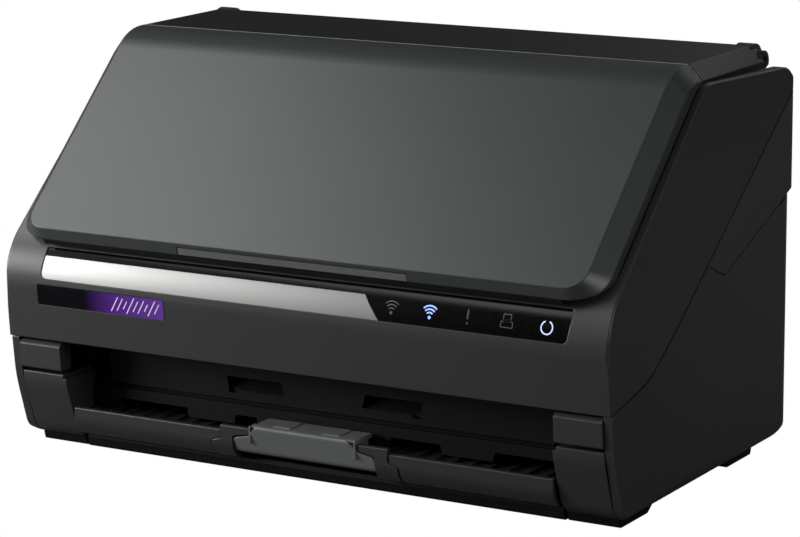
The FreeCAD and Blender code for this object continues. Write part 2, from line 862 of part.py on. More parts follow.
def separation_roller():
    centre = on_path(pickup_at, nip_gap + separation_radius)
    reach = pickup_half_width - 2.0
    return joined([rod(-reach, reach, centre, separation_radius),
                   rod(-reach - 5, reach + 5, centre, idler_shaft_radius)])


def idler_brackets():
    """Brackets under the feed cover that hold the idler and separation shafts."""
    brackets = []
    spots = [(exit_at, pinch_above, path_half_width - 9.0), (feed_at, pinch_above, path_half_width - 9.0),
             (pickup_at, nip_gap + separation_radius, pickup_half_width + 1.2)]
    low = path_half_gap + guide_thickness
    for along, above, x in spots:
        high = above + 4.5
        corners = [(along - 5, low), (along + 5, low), (along + 5, high), (along - 5, high)]
        plate = path_prism(corners, x, x + 2.0)
        plate = plate.cut(rod(x - 1, x + 4, on_path(along, above), idler_shaft_radius + running))
        brackets += [plate, mirrored(plate)]
    return Part.makeCompound(brackets)


def pickup_tyre():
    centre = on_path(pickup_at, drive_above)
    reach = pickup_half_width
    return rod(-reach, reach, centre, drive_radius).cut(rod(-reach - 1, reach + 1, centre, shaft_radius))


def hinge_block(sign):
    """Shallow block in front of the cover's pivot, open at the rear, with blind bores for the pin."""
    low, high = block_z
    x0, x1 = block_x
    front = block_front_y
    rear = front + block_depth
    bevel = 1.8
    outer = side_prism([
        (front + 0.7, low, 0.8), (front, high - bevel, 0.6), (front + bevel, high, 0.6),
        (rear, high), (rear, low),
    ], x0, x1)
    ear = side_prism([
        (front + 1.2, low + 0.4), (front + 1.2, high - bevel - 0.6), (rear, high - 1.0),
        (rear + 7.0, high - 1.0),
        (rear + 7.0, column_high_z - 4.0), (rear + 1.0, column_high_z - 4.0), (rear, low + 0.4),
    ], x1 - 3.4, x1)
    hollow = box((x0 + 3.4, x1 - 3.4), (front + 2.6, rear + 1.0), (0.0, high - 2.4))
    pin = rod(x0 + 1.2, x1 - 0.8, cover_axis, cover_pin_radius)
    shape = cut(joined([outer, ear]), [hollow, pin])
    return shape if sign > 0 else mirrored(shape)


def cover_pins():
    """Two pins that the scanner cover swings on."""
    pin = rod(block_x[0] + 1.3, block_x[1] - 0.9, cover_axis, cover_pin_radius)
    return Part.makeCompound([pin, mirrored(pin)])


def hinge_arms():
    """Slim arms from under the cover's front down to its pivot inside the hinge blocks."""
    y, z = cover_axis
    x0, x1 = block_x[0] + 6.0, block_x[1] - 6.0
    eye_radius = cover_pin_radius + 1.6
    back = y + 13.5
    eye = rod(x0, x1, cover_axis, eye_radius)
    neck = side_prism([
        (y, z - eye_radius), (back, z - eye_radius + 1.0), (back, z + 1.0), (y, z + 1.0),
    ], x0, x1)
    post = box((x0 - 9.0, x1), (back, back + 3.0), (z - eye_radius + 1.0, opening_ceiling + 1.0))
    low, high = opening_ceiling + guide_thickness, opening_ceiling + 6.0
    foot = box((path_half_width - 4.0, x1), (back, back + 10.0), (low, high))
    riser = box((x0 - 4.0, x1), (back, back + 3.0), (opening_ceiling - 1.0, high))
    bore = rod(x0 - 1, x1 + 1, cover_axis, cover_pin_radius + running)
    shape = joined([eye, neck, post, foot, riser]).cut(bore)
    return Part.makeCompound([shape, mirrored(shape)])


def front_column(sign):
    """Lower front column beside the output opening, a hollow moulding open at the rear."""
    x0, x1 = column_x
    belly, toe, heel = base_front[1:]
    rear = column_rear_y
    front = [(belly[0] - 0.2, column_high_z, 0.6), (belly[0], 30.0, 20.0), toe + (8.0,), heel]
    outer = side_prism(front + [(rear, case_z), (rear, column_high_z)], x0, x1)
    inner = side_prism([(p[0] + wall, min(max(p[1], case_z + wall), column_high_z - wall)) for p in front[:3]]
                       + [(heel[0] + wall, case_z + wall), (rear + 1.0, case_z + wall),
                          (rear + 1.0, column_high_z - wall)], x0 + 1.8, x1 - 1.8)
    step = box((x0 - 1, x0 + 1.6), (front_y, rear + 1.0), (column_high_z - 1.8, column_high_z + 1))
    shape = cut(outer, [inner, step])
    return shape if sign > 0 else mirrored(shape)


def tucked_sides(inset):
    """Front view of the base's sides, turning under toward the case floor, as a long prism."""
    reach = half - inset
    low = case_z + inset
    radius = base_side_radius - inset
    return front_prism([
        (-reach, low, radius), (reach, low, radius), (reach, height_limit), (-reach, height_limit),
    ], front_y - 5.0, rear_y + 5.0)


def base_solid():
    return side_prism(base_corners(), -half - 1, half + 1).common(tucked_sides(0)).common(body_plan(0))


def base_hollow():
    """Inside of the base's outer skin."""
    inner = Part.Face(wire(base_corners(), side(-half))).makeOffset2D(-wall)
    return inner.extrude(V(width, 0, 0)).common(tucked_sides(wall)).common(body_plan(wall))


def lever_corners(gap):
    """Side view of the release lever: a wedge under the seam, running to the rear edge."""
    low_z = seam_z(lever_low_y) - lever_low_drop
    lean = math.degrees(math.atan2(lever_rear_z - low_z, rear_y - 6.0 - lever_low_y))
    drop = gap / math.cos(math.radians(lean))
    top = seam_gap / math.cos(math.radians(seam_angle))
    far = rear_y + 2.0
    rise = 3 * gap
    return [
        (lever_tip_y - 1.4 * gap, seam_z(lever_tip_y) - top - 0.3),
        (lever_low_y + 1.5, low_z - drop, 2.5),
        (far, lever_rear_z - drop + 8.0 * slope(lean)),
        (far, seam_z(far) - top + rise),
        (lever_tip_y, seam_z(lever_tip_y) - top + rise),
    ]


def side_shell(sign):
    """Outer side moulding of the base; the right one leaves room for the release lever."""
    side_room = box((shell_x, half + 1), (front_y - 1, rear_y + 1), (0, height_limit))
    skin = base_solid().common(side_room).cut(base_hollow())
    if sign < 0:
        return mirrored(skin).removeSplitter()
    x0 = half - lever_thickness - 2.6
    seat = side_prism(lever_corners(clearance), x0, half + 1)
    tail = box((x0, half + 1), (rear_y - 14.0, rear_y + 3), (lever_rear_z - 6.0, height_limit))
    tail = tail.common(side_prism(lever_corners(1.5), x0, half + 1))
    return cut(skin, [seat, tail, lever_barrel(lever_barrel_radius + clearance, clearance)])


def lever_barrel(radius, extra=0.0):
    """Upright cylinder about the release lever's axis, lengthened at both ends."""
    top = seam_z(lever_axis_y) - 3.0 + extra
    foot = V(lever_axis_x, lever_axis_y, top - 6.0 - 2 * extra)
    return Part.makeCylinder(radius, 6.0 + 2 * extra, foot, V(0, 0, 1))


def release_lever():
    """Wedge-shaped lever flush with the right side, turning on a barrel at its front."""
    plan_view = body_plan(0, cover_rear_radius)
    plate = side_prism(lever_corners(0), half - lever_thickness - 1.0, half + 1).common(plan_view)
    room = side_prism(lever_corners(0), 0, half - lever_thickness)
    plate = plate.cut(room.common(body_plan(lever_thickness)))
    bore = lever_barrel(lever_barrel_radius / 2, 1.0)
    return cut(joined([plate, lever_barrel(lever_barrel_radius)]), [bore])


def rear_cover():
    """Rear wall of the base with its curved foot, vents, inlet and port openings."""
    skin = base_solid().cut(base_hollow())
    limit = box((-shell_x + clearance, shell_x - clearance), (rear_y - base_rear_radius - 2.0, rear_y + 1),
                (0, height_limit))
    top_cut = box((-half, half), (front_y, rear_y - 4.0), (seam_z(rear_y) - 30.0, height_limit))
    through = (rear_y - 6.0, rear_y + 1.0)
    vents = [box((x - 14.0, x + 14.0), through, (z, z + 2.6))
             for x in (58.0 - half, 92.0 - half) for z in (52.0, 58.0, 64.0, 70.0, 76.0)]
    openings = [box((x - inlet_half - 0.6, x + inlet_half + 0.6), through,
                    (inlet_z - inlet_half - 0.6, inlet_z + inlet_half + 0.6)) for x in (inlet_x, port_x)]
    return cut(skin.common(limit), [top_cut] + openings + vents)


# Rails under the output tray: distance from the middle and height
rail_tops = (
    (tray_half - 12.7, tray_top_z - tray_plate - 0.4),
    (tray_mouth[1] - 2.4, tray_top_z - tray_plate - 2 * tray_step_z - 0.4),
)
foot_lift = 0.6
front_foot = (front_y + 18.2, front_y + 52.0)
rear_foot = (rear_y - 54.0, rear_y - 25.0)


def base_chassis():
    """Bottom case: floor, front sill, feet and rails for the output tray."""
    half_floor = shell_x - clearance
    floor_rear = rear_y - base_rear_radius - 2.0 - clearance
    front = column_rear_y + 1.0
    floor = box((-half_floor, half_floor), (front, floor_rear), (case_z, case_z + wall))
    sill_y = front_y + 17.7
    sill = side_prism([
        (sill_y, case_z + 0.3, 0.8), (sill_y + 0.6, foot_lift, 1.6), (sill_y + 9.8, foot_lift),
        (sill_y + 14.8, case_z), (sill_y + 14.8, case_z + wall), (sill_y + 0.4, case_z + wall, 0.6),
    ], -tray_half, tray_half)
    parts = [floor, sill]
    for sign in (1, -1):
        x0, x1 = sorted((sign * (tray_half + 1.4), sign * half_floor))
        near, far = front_foot
        parts.append(side_prism([
            (near, case_z - 0.2), (near + 0.9, foot_lift, 1.6), (far - 8.0, foot_lift), (far, case_z + 1.0),
            (far, case_z + wall), (front, case_z + wall), (front, case_z - 0.2),
        ], x0, x1))
        near, far = rear_foot
        parts.append(side_prism([
            (near, case_z + 0.5), (near + 4.7, foot_lift, 1.0), (far, foot_lift, 1.0),
            (far + 1.8, case_z + 0.5),
        ], x0, x1))
        for reach, top in rail_tops:
            parts.append(box((sign * reach - 1.0, sign * reach + 1.0), (front + 2.0, rear_y - 34.0),
                             (case_z + wall - 0.1, top)))
    return joined(parts)


def foot_pads():
    """Rubber pads under the four feet."""
    x = (tray_half + 4.0, shell_x - 4.0)
    spots = ((front_foot[0] + 6.0, front_foot[1] - 12.0), (rear_foot[0] + 7.0, rear_foot[1] - 2.0))
    pads = [box(x, y, (0, foot_lift)) for y in spots]
    return Part.makeCompound(pads + [mirrored(pad) for pad in pads])


block_front = front_y + 6.1
block_rear = front_y + 22.9


def tray_bar(stage):
    """Curved front bar of one of the two outer trays, in side view."""
    lip = tray_lip_z[stage]
    front = tray_front_y - 0.4 * stage
    back = bar_rear_y
    return [
        (front, lip, 0.6), (front - 0.2, 9.4, 9.0), (back, tray_bottom_z), (back, tray_bottom_z + 2.2),
        (front + 2.4, 11.4, 6.0), (front + 2.4, lip),
    ]


def key_corners(inner, outer, gap):
    """Front view of a bar whose inner end steps outward at mid height, like a key."""
    wide = inner > tray_mouth[1]
    step = tray_key_width[0] if wide else tray_key_width[1]
    level = tray_key_z[0] if wide else tray_key_z[1]
    return [
        (inner + gap, 40.0), (outer, 40.0), (outer, 0.0), (inner + step + gap, 0.0),
        (inner + step + gap, level, 1.4), (inner + gap, level + 1.4, 1.0),
    ]


def mouth_room(inner):
    """Front view of the space in a bar's mouth, taken by the next tray's own front."""
    room = box((-80, 80), (front_y - 5, bar_rear_y + 0.6), (0, 40))
    right = front_prism(key_corners(inner, 90.0, 0), front_y - 6, bar_rear_y + 10.0)
    return room.cut([right, mirrored(right)])


def channel_section(outer, inner, level, wing_top):
    """Cross-section (x, z) of a tray plate with a lower channel in its middle."""
    wing = wing_top - tray_plate
    return [
        (-outer, wing), (-outer, wing_top), (-inner, wing_top), (-inner, level + tray_plate),
        (inner, level + tray_plate), (inner, wing_top), (outer, wing_top), (outer, wing),
        (inner + tray_plate, wing), (inner + tray_plate, level), (-inner - tray_plate, level),
        (-inner - tray_plate, wing),
    ]


def tray_ribs(xs, lip):
    """Fore-and-aft ribs on a tray, rising to its front lip."""
    front = tray_front_y + 1.6
    low, top = tray_top_z - 0.3, tray_top_z + 1.0
    return [side_prism([(front, low), (front, lip + 0.2), (front + 2.0, lip - 0.6), (front + 5.5, top),
                        (front_y + 54.5, top), (front_y + 54.5, low)], x - 0.5, x + 0.5)
            for x in xs + [-x for x in xs]]


def tray_outer():
    """Outer output tray: two wings, a channel between them and a curved front bar."""
    inner = tray_mouth[0]
    level = tray_top_z - tray_plate - 2 * tray_step_z
    section = channel_section(tray_half - 1.5, inner, level, tray_top_z)
    plate = front_prism(section, tray_front_y + 2.2, tray_rear_y[0])
    bars = side_prism(tray_bar(0), -tray_half, tray_half)
    right = front_prism(key_corners(inner, tray_half, 0), front_y - 5, bar_rear_y + 10.0)
    bars = bars.common(right.fuse(mirrored(right)))
    count = int((tray_half - inner - 6.0) / tray_rib_pitch) + 1
    ribs = tray_ribs([inner + 6.0 + tray_rib_pitch * n for n in range(count)], tray_lip_z[0])
    return cut(joined([plate, bars] + ribs), mouth_room(inner))


def tray_middle():
    """Middle output tray, sliding in the outer one's channel."""
    outer = tray_mouth[0] - tray_gap
    inner = tray_mouth[1] + 3.2
    level = tray_top_z - tray_plate - tray_step_z
    plate = front_prism(channel_section(outer, inner, level, tray_top_z), tray_front_y + 1.8, tray_rear_y[1])
    bars = side_prism(tray_bar(1), -60, 60)
    right = front_prism(key_corners(tray_mouth[1], 60.0, 0), front_y - 5, bar_rear_y + 10.0)
    limit = front_prism(key_corners(outer, 70.0, 0), front_y - 6, bar_rear_y + 11.0)
    right = right.cut(limit)
    bars = bars.common(right.fuse(mirrored(right)))
    ribs = tray_ribs([inner + 2.4, inner + 7.4], tray_lip_z[1] - 1.0)
    return cut(joined([plate, bars] + ribs), mouth_room(tray_mouth[1]))


def block_front_view():
    """Front view of the inner tray's block: chamfered top corners over a wider foot."""
    top, low = tray_lip_z[2], tray_key_z[1]
    shoulder = tray_mouth[1] - tray_gap
    foot = shoulder + tray_key_width[1]
    return [
        (shoulder - 4.2, top), (shoulder, top - 4.0), (shoulder, low + 1.0, 0.6),
        (foot, low - 0.8, 1.4), (foot, 0.0),
        (-foot, 0.0), (-foot, low - 0.8, 1.4), (-shoulder, low + 1.0, 0.6), (-shoulder, top - 4.0),
        (4.2 - shoulder, top),
    ]


def tray_inner():
    """Inner output tray with its front block, and lugs for the stopper's pins."""
    outer = tray_mouth[1] + 2.6
    y, z = stopper_axis
    lip = tray_lip_z[2]
    plate = box((-outer, outer), (tray_front_y + 2.0, tray_rear_y[2]), (tray_top_z - tray_plate, tray_top_z))
    curve = side_prism([
        (block_front, lip, 1.4), (front_y + 9.9, 11.6, 3.0), (front_y + 14.5, 10.2), (front_y + 14.5, 13.0),
        (front_y + 10.7, lip - 2.4), (front_y + 14.5, lip),
    ], -60, 60)
    curve = curve.common(front_prism(block_front_view(), front_y - 5, bar_rear_y + 10.0))
    seat_top = lip - stopper_thickness - clearance
    reach = tray_mouth[1] - tray_gap
    seat = box((-reach + 3, reach - 3), (tray_front_y + 2.0, block_rear), (tray_top_z - 0.2, seat_top))
    lug = box((stopper_half + 0.3, reach), (y - 1.9, y + 3.0), (tray_top_z - 0.2, z + 0.9))
    body = joined([plate, curve, seat, lug, mirrored(lug)])
    room = box((-stopper_half - 0.3, stopper_half + 0.3), (y - 1.9, block_rear + 1.0), (seat_top, 40.0))
    bore = rod(-stopper_half - 0.6, stopper_half + 0.6, stopper_axis, stopper_pin_radius + running)
    return cut(body, [room, bore])


def stopper():
    """Flap that stands up at the end of the inner tray, with its two pins."""
    y, z = stopper_axis
    reach = stopper_half
    half_thick = stopper_thickness / 2
    flap = side_prism([
        (y, z - half_thick), (y + stopper_length, z - half_thick, 0.6),
        (y + stopper_length, z + half_thick, 0.6),
        (y, z + half_thick),
    ], -reach, reach)
    barrel = rod(-reach, reach, stopper_axis, half_thick)
    pins = rod(-reach - 0.5, reach + 0.5, stopper_axis, stopper_pin_radius)
    top = z + half_thick
    ribs = [box((x - 4.0, x + 4.0), (y + 2.0, y + stopper_length - 1.0), (top - 0.1, top + 0.3))
            for x in (-12.0, 12.0)]
    return joined([flap, barrel, pins] + ribs)


def lid_tip(inset):
    """Point of the lid's side view where its inset slope meets the inner face."""
    y, z = on_liner(0.0, 0.0)
    lift = inset / math.cos(math.radians(lid_slope_angle))
    above = lip_z - lift + (y - lip_y) * slope(lid_slope_angle) - z
    back = above / (slope(lid_slope_angle) - slope(liner_angle))
    return y - back, z - back * slope(liner_angle)


def lid_corners(inset=0.0):
    """Side view of the closed lid: slope, fold, flat top, hinge barrel and inner face."""
    shift = inset * slope(lid_slope_angle / 2)
    return [
        lid_tip(inset),
        (lid_fold_y + shift, lid_top_z - inset, lid_fold_radius - inset),
        (hinge_y + barrel_radius - inset, lid_top_z - inset, max(barrel_radius - inset - 0.1, 0.5)),
        on_liner(liner_length - inset, 0.0),
    ]


def slope_block(inset=0.0):
    """Bevelled block square to the lid's slope, with rounded lower corners and a soft rim."""
    c, s = turned(lid_slope_angle)

    def section(below, spread):
        def place(u, v):
            return V(u, lip_y + v * c + below * s, lip_z + v * s - below * c)
        reach = lid_half - bevel_width + spread - inset
        low = -spread / 2 + inset
        radius = lid_corner_radius + spread - inset
        corners = [(-reach, low, radius), (reach, low, radius), (reach, 400), (-reach, 400)]
        return wire(corners, place)

    levels = [(-60, -rim), (0, -rim), (rim, 0), (bevel_depth, bevel_width), (bevel_depth + 200, bevel_width)]
    return Part.makeLoft([section(below, spread) for below, spread in levels], True, True)


def bevelled_ends(inset=0.0):
    """Side view of the lid stretched across it, bevelled along both ends."""
    outer = lid_half - inset + 0.05
    sections = [(-outer, inset + bevel_depth), (bevel_width - outer, inset),
                (outer - bevel_width, inset), (outer, inset + bevel_depth)]
    return Part.makeLoft([wire(lid_corners(depth_in), side(x)) for x, depth_in in sections], True, True)


def lid_solid(inset=0.0):
    """Outer form of the closed lid above its inner face, or its hollow at an inset."""
    return bevelled_ends(inset).common(slope_block(inset))


def lid_shell():
    """Lid moulding without its inner face: hollow, with room for the extension at the lip."""
    low = liner_thickness + 0.1
    above_liner = liner_prism([(-20, low), (-20, 200), (260, 200), (260, low)], -half, half)
    return lid_solid().common(above_liner).cut([lid_solid(lid_wall), extension_slot(0.4)])


def extension_slot(gap):
    """Room for the input tray extension in the lid, from above the inner face."""
    low = liner_thickness + 0.1
    high = liner_thickness + 0.3 + extension_thickness + gap
    end = extension_length + 4.0
    reach = extension_half + gap
    plate = liner_prism([(-10, low), (-10, high), (end, high), (end, low)], -reach, reach)
    top = grip_height + gap
    grip = liner_prism([(-10, low), (-10, top), (grip_depth, top), (grip_depth, low)], -reach, reach)
    return plate.fuse(grip)


def lid_panel():
    """Large front panel of the lid, down to its lip."""
    front = box((-half, half), (front_y - 30, lid_seam_y - lid_seam_gap / 2), (0, height_limit))
    return lid_shell().common(front).removeSplitter()


def bracket_room():
    """Room in the lid around the cover's hinge brackets."""
    reach = bracket_width / 2 + bracket_gap
    room = rod(bracket_x - reach, bracket_x + reach, (hinge_y, hinge_z), bracket_radius + bracket_gap)
    depth_y = (hinge_y - 4.6, hinge_y + barrel_radius + 1.0)
    return room.fuse(box((bracket_x - reach, bracket_x + reach), depth_y, (hinge_z - 20.0, hinge_z)))


def lid_top():
    """Dark top plate of the lid, with a boss on each side of both hinge brackets."""
    rear = box((-half, half), (lid_seam_y + lid_seam_gap / 2, rear_y + 30), (0, height_limit))
    low = liner_thickness + 0.1
    below = liner_prism([(-20, -40), (-20, low), (260, low), (260, -40)], -half, half)
    boss = rod(bracket_x - 9.0, lid_half - 1.0, (hinge_y, hinge_z), lid_pin_radius + 2.4)
    bore = rod(-half, half, (hinge_y, hinge_z), lid_pin_radius + running)
    room = bracket_room()
    shell = lid_shell().common(rear).fuse([boss, mirrored(boss)])
    return cut(shell, [bore, below, room, mirrored(room)])


def lid_liner():
    """Inner face of the lid, which holds the paper when the lid is open, with low ribs."""
    end = liner_length - 2.2
    side_view = liner_prism([(-14, 0), (-14, liner_thickness), (end, liner_thickness, 0.8), (end, 0)],
                            -lid_half, lid_half)
    room = bracket_room()
    bore = rod(-half, half, (hinge_y, hinge_z), lid_pin_radius + running)
    corner = lid_corner_radius + bevel_width
    outline = slope_prism(lid_half, recess_low() + clearance, corner - clearance)
    outline = outline.fuse(slope_prism(lid_half - corner, -bevel_width / 2, 0.5))
    plate = side_view.common(slope_block(0.0)).common(outline)
    plate = cut(plate, guide_slot() + [room, mirrored(room), bore])
    stud = liner_stud(liner_thickness - 0.5, liner_thickness + rack_thickness, pinion_stud_radius)
    return joined([plate, stud])


def guide_line():
    """Distance of the edge guides' middle from the lip, along the inner face."""
    return liner_length - guide_from_hinge - guide_length / 2


def guide_slot():
    """Slots across the inner face that the edge guides' stems run in."""
    at = guide_line()
    slots = []
    for sign in (1, -1):
        x0, x1 = sorted((sign * (guide_x - guide_travel - 3.6), sign * (guide_x + 3.6)))
        slots.append(liner_prism([(at - 3.2, -1), (at - 3.2, 5), (at + 3.2, 5), (at + 3.2, -1)], x0, x1))
    return slots


pinion_radius = rack_module * rack_teeth / 2
pinion_stud_radius = 2.0


def rack(sign, x0, x1):
    """Toothed bar above the inner face, on one side of the guide pinion."""
    at = guide_line()
    low = liner_thickness + 0.3
    high = low + rack_thickness
    pitch_line = at - sign * pinion_radius
    back = pitch_line - sign * (1.25 * rack_module + 3.0)
    root = pitch_line - sign * 1.25 * rack_module
    bar = liner_box(x0, x1, back, root, low, high)
    pitch = math.pi * rack_module
    teeth = []
    first = math.ceil((x0 + 1.0) / pitch)
    last = math.floor((x1 - 1.0) / pitch)
    for number in range(first, last + 1):
        x = number * pitch
        teeth.append(rack_tooth(x, pitch_line, sign, low, high))
    return joined([bar] + teeth)


def rack_tooth(x, pitch_line, sign, low, high):
    lean = math.tan(math.radians(20.0))
    half_pitch = math.pi * rack_module / 4 - backlash / 2
    root = 1.25 * rack_module
    tip = 0.9 * rack_module
    points = [(x - half_pitch - root * lean, pitch_line - sign * (root + 0.1)),
              (x - half_pitch + tip * lean, pitch_line + sign * tip),
              (x + half_pitch - tip * lean, pitch_line + sign * tip),
              (x + half_pitch + root * lean, pitch_line - sign * (root + 0.1))]
    return liner_plan_prism(points, low, high)


def liner_plan_prism(corners, low, high):
    """Prism square to the inner face whose corners are (x, along)."""
    def place(u, v):
        y, z = on_liner(v, low)
        return V(u, y, z)
    top = on_liner(0, high)
    bottom = on_liner(0, low)
    return Part.Face(wire(corners, place)).extrude(V(0, top[0] - bottom[0], top[1] - bottom[1]))


def liner_box(x0, x1, along0, along1, low, high):
    return liner_plan_prism([(x0, along0), (x1, along0), (x1, along1), (x0, along1)], low, high)


def edge_guide(sign):
    """Edge guide: fin and foot under the inner face, stem through its slot, and a rack above."""
    at = guide_line()
    x = sign * guide_x
    low_at, high_at = at - guide_length / 2, at + guide_length / 2
    low = liner_thickness + 0.3
    high = low + rack_thickness
    fin = liner_prism([
        (low_at, -0.4), (low_at + 3.0, -guide_height, 3.0), (high_at - 3.0, -guide_height, 3.0),
        (high_at, -0.4),
    ], x - 1.2, x + 1.2)
    foot_x = sorted((x, x + sign * guide_foot))
    foot = liner_box(foot_x[0], foot_x[1], low_at + 4, high_at - 4, -2.0, -0.4)
    stem = liner_box(x - 3.0, x + 3.0, at - 2.6, at + 2.6, -1.0, low + 0.3)
    rack_x = sorted((x + sign * 3.0, -sign * 24.0))
    head_at = sorted((at + sign * 2.6, at - sign * (pinion_radius + 2.0)))
    head = liner_box(x - 3.0, x + 3.0, head_at[0], head_at[1], low, high)
    return joined([fin, foot, stem, rack(sign, rack_x[0], rack_x[1]), head])


def guide_pinion():
    """Pinion between the two racks, turning on a stud of the inner face."""
    at = guide_line()
    flank = involute_tooth(rack_teeth, rack_module)
    points = []
    for tooth in range(rack_teeth):
        middle = math.radians(90.0 + 180.0 / rack_teeth) + 2 * math.pi * tooth / rack_teeth
        for radius, angle in flank:
            points.append((radius * math.cos(middle - angle), at + radius * math.sin(middle - angle)))
        for radius, angle in reversed(flank):
            points.append((radius * math.cos(middle + angle), at + radius * math.sin(middle + angle)))
    low = liner_thickness + 0.3
    body = liner_plan_prism(points, low, low + rack_thickness)
    return body.cut(liner_stud(low - 1.0, low + rack_thickness + 1.0, pinion_stud_radius + running))


def liner_stud(low, high, radius):
    """Round stud square to the inner face, at the guide pinion."""
    foot = on_liner(guide_line(), low)
    c, s = turned(liner_angle)
    return Part.makeCylinder(radius, high - low, V(0, foot[0], foot[1]), V(0, -s, c))


def extension_tray():
    """Input tray extension stored in the lid, with its grip at the lip."""
    low = liner_thickness + 0.3
    high = low + extension_thickness
    reach = extension_half
    end = extension_length
    plate = liner_prism([(-0.6, low), (-0.6, high), (end, high), (end, low)], -reach, reach)
    back = grip_depth - 0.8
    grip = liner_prism([(-14, low), (-14, grip_height), (back, grip_height, 1.0), (back, low)], -reach, reach)
    grip = grip.common(slope_block(0.0)).common(side_prism(lid_corners(0.0), -reach, reach))
    window = liner_box(-20.0, 20.0, extension_length - 40.0, extension_length - 18.0, low - 1, high + 1)
    return cut(joined([plate, grip]), [window])


def lid_pins():
    pin = rod(bracket_x - 8.5, lid_half - 2.0, (hinge_y, hinge_z), lid_pin_radius)
    return Part.makeCompound([pin, mirrored(pin)])


def control_lens():
    """Glossy window over the indicators, with a band above the silver strip, cut out for the keys."""
    window = front_prism(window_corners(0), front_y - 5.0, face_back_y)
    layer = face_layer(window_sink, window_sink + window_thickness).common(window)
    strip = strip_prism(0.1)
    return cut(layer, [strip] + [key_prism(x, key_gap) for x in key_x])


def strip_prism(gap):
    """Front view of the silver strip, with its slanted right end."""
    low_x, high_x = strip_end_x
    low, high = window_z[0] - 2.0, strip_high_z + gap
    return front_prism([
        (-window_half - 3.0, low), (low_x + gap + 0.8, low), (high_x + gap, high), (-window_half - 3.0, high),
    ], front_y - 5.0, face_back_y)


def silver_strip():
    window = front_prism(window_corners(0), front_y - 5.0, face_back_y)
    layer = face_layer(window_sink - 0.1, window_sink + window_thickness)
    return layer.common(window).common(strip_prism(0)).removeSplitter()


def control_key(x):
    """Flush key with a post behind it that reaches the control board's switch."""
    cap = face_layer(window_sink, window_sink + window_thickness - key_travel).common(key_prism(x, 0))
    middle_z = (key_z[0] + key_z[1]) / 2
    post_end = board_front_y - key_travel - 0.1
    post = box((x - 1.5, x + 1.5), (front_y + 1.6, post_end), (middle_z - 1.5, middle_z + 1.5))
    return joined([cap, post])


def control_board():
    """Small board behind the window that carries the indicators and switches."""
    return box((strip_end_x[1], window_half), (board_front_y, board_front_y + board_thickness),
               (window_z[0] - 7.4, window_z[1] - 5.4))


def badge_plate():
    return face_layer(-0.2, badge_thickness - 0.3).common(badge_prism(0)).removeSplitter()


def latch():
    """Latch shaft with two hooks, turned by the release lever."""
    reach = latch_half
    shaft = rod(-reach, reach, latch_axis, latch_shaft_radius)
    y, z = latch_axis
    ky, kz = keeper_at
    hook = side_prism([
        (y - 3.5, z - 2.0), (y + 4.5, z - 2.0), (ky + keeper_radius + 5.0, kz - 2.0),
        (ky + keeper_radius + 5.0, kz + 5.0),
        (ky + keeper_radius + 3.6, kz + 6.0), (ky + keeper_radius + 2.2, kz + 3.0),
        (ky + keeper_radius + 3.0, kz - 1.0),
    ], reach - 6.0, reach - 2.0)
    return joined([shaft, hook, mirrored(hook)])


def keepers():
    """Two short bars on the cover that the latch hooks hold."""
    bar = rod(latch_half - 7.0, half_recess, keeper_at, keeper_radius)
    return Part.makeCompound([bar, mirrored(bar)])


def main_board():
    """Main circuit board upright behind the rear cover, with a few tall parts."""
    back = rear_y - wall - 6.0
    front = back - board_thickness
    left = 30.0 - half
    board = box((left, 20.0), (front, back), (board_low_z, board_low_z + 72.0))
    chips = []
    for x, w, rise, h, thick in ((58.0, 16.0, 24.0, 16.0, 2.0), (94.0, 12.0, 30.0, 12.0, 2.0),
                                 (18.0, 10.0, 40.0, 18.0, 6.0)):
        z = board_low_z + rise
        chips.append(box((left + x, left + x + w), (front - thick, front + 0.1), (z, z + h)))
    return joined([board] + chips)


def power_inlet():
    """Round low-voltage inlet: square body, barrel and centre pin."""
    back = rear_y - 0.6
    body = box((inlet_x - inlet_half, inlet_x + inlet_half), (rear_y - wall - 5.8, back),
               (inlet_z - inlet_half, inlet_z + inlet_half))
    bore = Part.makeCylinder(3.0, 20, V(inlet_x, rear_y - 7.0, inlet_z), V(0, 1, 0))
    pin = Part.makeCylinder(1.0, 5.0, V(inlet_x, rear_y - 7.4, inlet_z), V(0, 1, 0))
    return joined([body.cut(bore), pin])


def data_port():
    """Square data port with its tongue."""
    back = rear_y - 0.8
    size = inlet_half - 0.4
    body = box((port_x - size, port_x + size), (rear_y - wall - 5.8, back), (inlet_z - size, inlet_z + size))
    mouth = box((port_x - 4.2, port_x + 4.2), (rear_y - 7.0, back + 1), (inlet_z - 4.2, inlet_z + 4.2))
    tongue = box((port_x - 2.8, port_x + 2.8), (rear_y - 7.4, back - 1.0), (inlet_z - 1.4, inlet_z + 1.4))
    return joined([body.cut(mouth), tongue])


nodes = {}


def keep(name, shape):
    nodes[name] = shape


